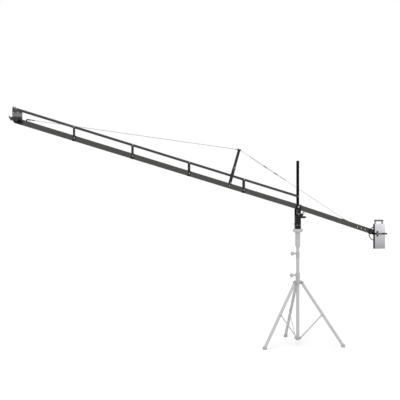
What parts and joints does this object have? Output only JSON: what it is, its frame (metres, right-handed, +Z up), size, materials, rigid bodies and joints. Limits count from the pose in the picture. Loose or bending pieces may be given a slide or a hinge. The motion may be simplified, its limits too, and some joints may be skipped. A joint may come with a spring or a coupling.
{
  "type": "camera jib crane",
  "caption": "Counterweighted camera jib crane with a jointed boom, levelling rod, stayed king post, pan yoke, weight stack and folding three-legged stand.",
  "frame": {"origin": "centre of the flat underside of the stand's bottom hub, on the pan axis, 46 mm above the floor", "axes": "+Z up along the pan axis, +X along the boom towards the counterweight, -Y the side with the weights"},
  "size_m": [3.9032, 0.7866, 2.393],
  "materials": {
    "stand_paint": "satin",
    "stand_plastic": "satin",
    "foot_rubber": "matte",
    "yoke_paint": "satin",
    "black_plastic": "satin",
    "boom_anodised": "satin anodised",
    "black_anodised": "satin anodised",
    "bolt_steel": "brushed",
    "stay_wire": "bright wire",
    "weight_steel": "brushed"
  },
  "bodies": {
    "column": {"column_hub": "stand_paint", "column_tube": "stand_paint", "telescope_clamp": "stand_paint"},
    "telescope_knob_body": {"telescope_knob": "stand_plastic"},
    "riser": {"riser_tube": "stand_paint", "head_adapter": "stand_paint"},
    "leg_slider": {"leg_collar": "stand_paint"},
    "leg_collar_knob_body": {"leg_collar_knob": "stand_plastic"},
    "yoke": {"yoke_base": "yoke_paint", "yoke_plate_near": "yoke_paint", "yoke_plate_far": "yoke_paint", "mast": "yoke_paint", "boom_pivot_bolt": "bolt_steel", "rod_pivot_bolt": "bolt_steel"},
    "pan_lock": {"pan_lock_knob": "black_plastic"},
    "safety_lock": {"safety_pin": "bolt_steel"},
    "tilt_lock": {"tilt_lock_knob": "black_plastic"},
    "boom": {"boom_section_1": "boom_anodised", "boom_section_2": "boom_anodised", "boom_section_3": "boom_anodised", "boom_section_4": "boom_anodised", "boom_section_5": "boom_anodised", "joint_block_1": "black_anodised", "joint_block_2": "black_anodised", "joint_block_3": "black_anodised", "joint_block_4": "black_anodised", "boom_end_block": "black_anodised", "rear_arm": "boom_anodised", "tilt_quadrant": "yoke_paint", "king_fork": "black_anodised", "king_tube": "black_anodised", "front_anchor": "yoke_paint", "front_stay_near": "stay_wire", "front_stay_far": "stay_wire", "rear_anchor": "yoke_paint", "rear_stay_upper": "stay_wire", "rear_stay_lower": "stay_wire", "axle_block": "yoke_paint", "hand_ring": "black_plastic"},
    "levelling_rod": {"parallel_rod": "boom_anodised"},
    "camera_head": {"head_bracket": "boom_anodised", "camera_tray": "black_anodised"},
    "camera_screw_body": {"camera_screw": "bolt_steel"},
    "turnbuckle_body": {"turnbuckle": "bolt_steel"},
    "weights": {"weight_stack": "weight_steel"},
    "weight_clamp": {"clamp_lever": "black_plastic"},
    "leg_1_body": {"leg_1": "stand_paint", "foot_1": "foot_rubber"},
    "brace_1_body": {"brace_1": "stand_paint"},
    "leg_2_body": {"leg_2": "stand_paint", "foot_2": "foot_rubber"},
    "brace_2_body": {"brace_2": "stand_paint"},
    "leg_3_body": {"leg_3": "stand_paint", "foot_3": "foot_rubber"},
    "brace_3_body": {"brace_3": "stand_paint"},
    "link_1_body": {"link_pair_1": "black_anodised"},
    "link_2_body": {"link_pair_2": "black_anodised"},
    "link_3_body": {"link_pair_3": "black_anodised"},
    "link_4_body": {"link_pair_4": "black_anodised"}
  },
  "joints": [
    {"name": "riser_height", "type": "slide", "parent": "column", "child": "riser", "axis": [0, 0, 1], "range_m": [-0.03, 0.25]},
    {"name": "telescope_knob_turn", "type": "hinge", "parent": "column", "child": "telescope_knob_body", "pos_m": [-0.026, 0, 0.898], "axis": [-1, 0, 0], "range_deg": [0, 720]},
    {"name": "leg_spread", "type": "slide", "parent": "column", "child": "leg_slider", "axis": [0, 0, 1], "range_m": [0, 0.15]},
    {"name": "leg_collar_knob_turn", "type": "hinge", "parent": "leg_slider", "child": "leg_collar_knob_body", "pos_m": [-0.032, 0, 0.673], "axis": [-1, 0, 0], "range_deg": [0, 720]},
    {"name": "leg_1_fold", "type": "hinge", "parent": "leg_slider", "child": "leg_1_body", "pos_m": [0.03461, -0.02379, 0.596], "axis": [0.5664, 0.8241, 0], "range_deg": [0, 28.43]},
    {"name": "brace_1_fold", "type": "hinge", "parent": "column", "child": "brace_1_body", "pos_m": [0.02308, -0.01586, 0.022], "axis": [-0.5664, -0.8241, 0], "range_deg": [0, 32.85]},
    {"name": "leg_2_fold", "type": "hinge", "parent": "leg_slider", "child": "leg_2_body", "pos_m": [-0.03791, -0.01808, 0.596], "axis": [0.4305, -0.9026, 0], "range_deg": [0, 28.43]},
    {"name": "brace_2_fold", "type": "hinge", "parent": "column", "child": "brace_2_body", "pos_m": [-0.02527, -0.01205, 0.022], "axis": [-0.4305, 0.9026, 0], "range_deg": [0, 32.85]},
    {"name": "leg_3_fold", "type": "hinge", "parent": "leg_slider", "child": "leg_3_body", "pos_m": [0.0033, 0.04187, 0.596], "axis": [-0.9969, 0.0785, 0], "range_deg": [0, 28.43]},
    {"name": "brace_3_fold", "type": "hinge", "parent": "column", "child": "brace_3_body", "pos_m": [0.0022, 0.02791, 0.022], "axis": [0.9969, -0.0785, 0], "range_deg": [0, 32.85]},
    {"name": "pan", "type": "hinge", "parent": "riser", "child": "yoke", "pos_m": [0, 0, 1.152], "axis": [0, 0, 1], "continuous": true},
    {"name": "pan_lock_turn", "type": "hinge", "parent": "yoke", "child": "pan_lock", "pos_m": [0.0265, 0, 1.273], "axis": [1, 0, 0], "range_deg": [0, 720]},
    {"name": "safety_pin_pull", "type": "slide", "parent": "yoke", "child": "safety_lock", "axis": [-1, 0, 0], "range_m": [0, 0.012]},
    {"name": "tilt_lock_turn", "type": "hinge", "parent": "yoke", "child": "tilt_lock", "pos_m": [0.061, 0.033, 1.299], "axis": [0, 1, 0], "range_deg": [0, 720]},
    {"name": "boom_tilt", "type": "hinge", "parent": "yoke", "child": "boom", "pos_m": [0, 0, 1.381], "axis": [0, 1, 0], "range_deg": [-35, 18]},
    {"name": "rod_tilt", "type": "hinge", "parent": "yoke", "child": "levelling_rod", "pos_m": [0, 0, 1.491], "axis": [0, 1, 0], "range_deg": [-35, 18]},
    {"name": "link_1_tilt", "type": "hinge", "parent": "boom", "child": "link_1_body", "pos_m": [-0.58578, 0, 1.55119], "axis": [0, 1, 0], "range_deg": [-18, 35]},
    {"name": "link_2_tilt", "type": "hinge", "parent": "boom", "child": "link_2_body", "pos_m": [-1.15907, 0, 1.71774], "axis": [0, 1, 0], "range_deg": [-18, 35]},
    {"name": "link_3_tilt", "type": "hinge", "parent": "boom", "child": "link_3_body", "pos_m": [-1.73237, 0, 1.8843], "axis": [0, 1, 0], "range_deg": [-18, 35]},
    {"name": "link_4_tilt", "type": "hinge", "parent": "boom", "child": "link_4_body", "pos_m": [-2.30566, 0, 2.05086], "axis": [0, 1, 0], "range_deg": [-18, 35]},
    {"name": "head_level", "type": "hinge", "parent": "boom", "child": "camera_head", "pos_m": [-2.85687, 0, 2.211], "axis": [0, 1, 0], "range_deg": [-18, 35]},
    {"name": "camera_screw_turn", "type": "hinge", "parent": "camera_head", "child": "camera_screw_body", "pos_m": [-2.89887, 0, 2.215], "axis": [0, 0, 1], "continuous": true},
    {"name": "turnbuckle_turn", "type": "hinge", "parent": "boom", "child": "turnbuckle_body", "pos_m": [-0.29805, 0, 1.75685], "axis": [0.8497, 0, -0.5273], "continuous": true},
    {"name": "weight_swing", "type": "hinge", "parent": "boom", "child": "weights", "pos_m": [0.86629, -0.0462, 1.09571], "axis": [0, 1, 0], "range_deg": [-45, 45]},
    {"name": "clamp_lever_turn", "type": "hinge", "parent": "boom", "child": "weight_clamp", "pos_m": [0.86629, -0.073, 1.09571], "axis": [0, -1, 0], "range_deg": [0, 180]}
  ],
  "couplings": [
    {"joint": "leg_1_fold", "follows": "leg_spread", "rad_per_m": 3.3061},
    {"joint": "brace_1_fold", "follows": "leg_spread", "rad_per_m": 3.82},
    {"joint": "leg_2_fold", "follows": "leg_spread", "rad_per_m": 3.3061},
    {"joint": "brace_2_fold", "follows": "leg_spread", "rad_per_m": 3.82},
    {"joint": "leg_3_fold", "follows": "leg_spread", "rad_per_m": 3.3061},
    {"joint": "brace_3_fold", "follows": "leg_spread", "rad_per_m": 3.82},
    {"joint": "rod_tilt", "follows": "boom_tilt", "ratio": 1},
    {"joint": "link_1_tilt", "follows": "boom_tilt", "ratio": -1},
    {"joint": "link_2_tilt", "follows": "boom_tilt", "ratio": -1},
    {"joint": "link_3_tilt", "follows": "boom_tilt", "ratio": -1},
    {"joint": "link_4_tilt", "follows": "boom_tilt", "ratio": -1},
    {"joint": "head_level", "follows": "boom_tilt", "ratio": -1}
  ]
}
